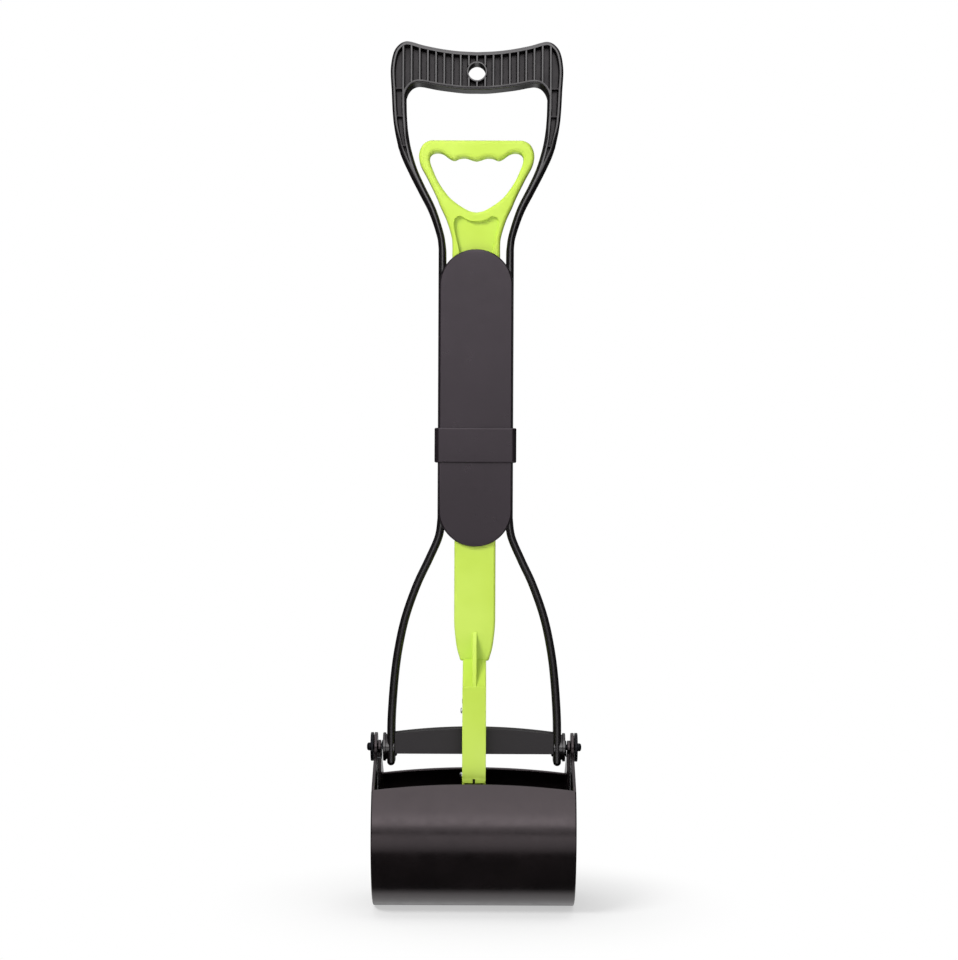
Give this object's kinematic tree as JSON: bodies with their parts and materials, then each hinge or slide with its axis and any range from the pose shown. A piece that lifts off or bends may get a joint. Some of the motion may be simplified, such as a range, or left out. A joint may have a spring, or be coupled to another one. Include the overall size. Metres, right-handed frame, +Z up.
{
  "type": "pooper scooper",
  "caption": "Foldable long-handled pet waste scooper with a D-grip, an inner pull handle and two spring-closed clamshell jaws.",
  "frame": {"origin": "centre of the hanging hole in the D-grip", "axes": "+X to the right as seen from the cover side, +Y to the back, +Z up along the scooper; the cover plates face -Y"},
  "size_m": [0.15, 0.1098, 0.6024],
  "materials": {
    "black": "satin moulded black",
    "cover": "satin moulded dark grey",
    "lime": "satin moulded lime green",
    "jaw": "half-gloss moulded black",
    "steel": "bright zinc-plated",
    "dark_steel": "black oxide"
  },
  "bodies": {
    "frame_top": {"upper_frame": "black", "upper_cover": "cover", "upper_cover_screw_left_1": "steel", "upper_cover_screw_right_1": "steel", "upper_cover_screw_left_2": "steel", "upper_cover_screw_right_2": "steel", "fold_pin_left": "steel", "fold_pin_right": "steel"},
    "collar": {"lock_collar": "cover"},
    "pull": {"pull_handle": "lime", "rod_hinge_pin": "steel"},
    "frame_bottom": {"lower_frame": "black", "lower_cover": "cover", "lower_cover_screw_left_1": "steel", "lower_cover_screw_right_1": "steel", "lower_cover_screw_left_2": "steel", "lower_cover_screw_right_2": "steel", "pivot_pin_left": "dark_steel", "pivot_pin_right": "dark_steel", "pivot_washer_left": "dark_steel", "pivot_washer_right": "dark_steel", "torsion_spring_left": "steel", "torsion_spring_right": "steel"},
    "rod_bottom": {"lower_rod": "lime", "front_link_top_pin": "steel", "rear_link_top_pin": "steel"},
    "link_front": {"front_link": "lime", "front_link_bottom_pin": "steel"},
    "link_rear": {"rear_link": "lime", "rear_link_bottom_pin": "steel"},
    "jaw_front": {"front_jaw": "jaw"},
    "jaw_rear": {"rear_jaw": "jaw"}
  },
  "joints": [
    {"name": "pull", "type": "slide", "parent": "frame_top", "child": "pull", "axis": [0, 0, 1], "range_m": [0, 0.031]},
    {"name": "fold", "type": "hinge", "parent": "frame_top", "child": "frame_bottom", "pos_m": [0, 0.009, -0.2655], "axis": [1, 0, 0], "range_deg": [0, 155]},
    {"name": "collar_slide", "type": "slide", "parent": "frame_top", "child": "collar", "axis": [0, 0, 1], "range_m": [0, 0.0548]},
    {"name": "lower_rod_slide", "type": "slide", "parent": "frame_bottom", "child": "rod_bottom", "axis": [0, 0, 1], "range_m": [0, 0.031]},
    {"name": "front_link_tilt", "type": "hinge", "parent": "rod_bottom", "child": "link_front", "pos_m": [0, -0.033, -0.4426], "axis": [-1, 0, 0], "range_deg": [0, 8.07]},
    {"name": "rear_link_tilt", "type": "hinge", "parent": "rod_bottom", "child": "link_rear", "pos_m": [0, 0.033, -0.4426], "axis": [1, 0, 0], "range_deg": [0, 8.07]},
    {"name": "front_jaw_swing", "type": "hinge", "parent": "frame_bottom", "child": "jaw_front", "pos_m": [0, 0, -0.4715], "axis": [-1, 0, 0], "range_deg": [0, 46.44], "stiffness_Nm_per_rad": 0.15, "springref_deg": -34.38, "deforming": ["torsion_spring_left"]},
    {"name": "rear_jaw_swing", "type": "hinge", "parent": "frame_bottom", "child": "jaw_rear", "pos_m": [0, 0, -0.4715], "axis": [1, 0, 0], "range_deg": [0, 46.44], "stiffness_Nm_per_rad": 0.15, "springref_deg": -34.38, "deforming": ["torsion_spring_right"]}
  ],
  "couplings": [
    {"joint": "collar_slide", "follows": "fold", "m_per_rad": 0.02022},
    {"joint": "lower_rod_slide", "follows": "pull", "ratio": 1},
    {"joint": "front_link_tilt", "follows": "pull", "rad_per_m": 4.5426},
    {"joint": "rear_link_tilt", "follows": "pull", "rad_per_m": 4.5426},
    {"joint": "front_jaw_swing", "follows": "pull", "rad_per_m": 26.145},
    {"joint": "rear_jaw_swing", "follows": "pull", "rad_per_m": 26.145}
  ]
}
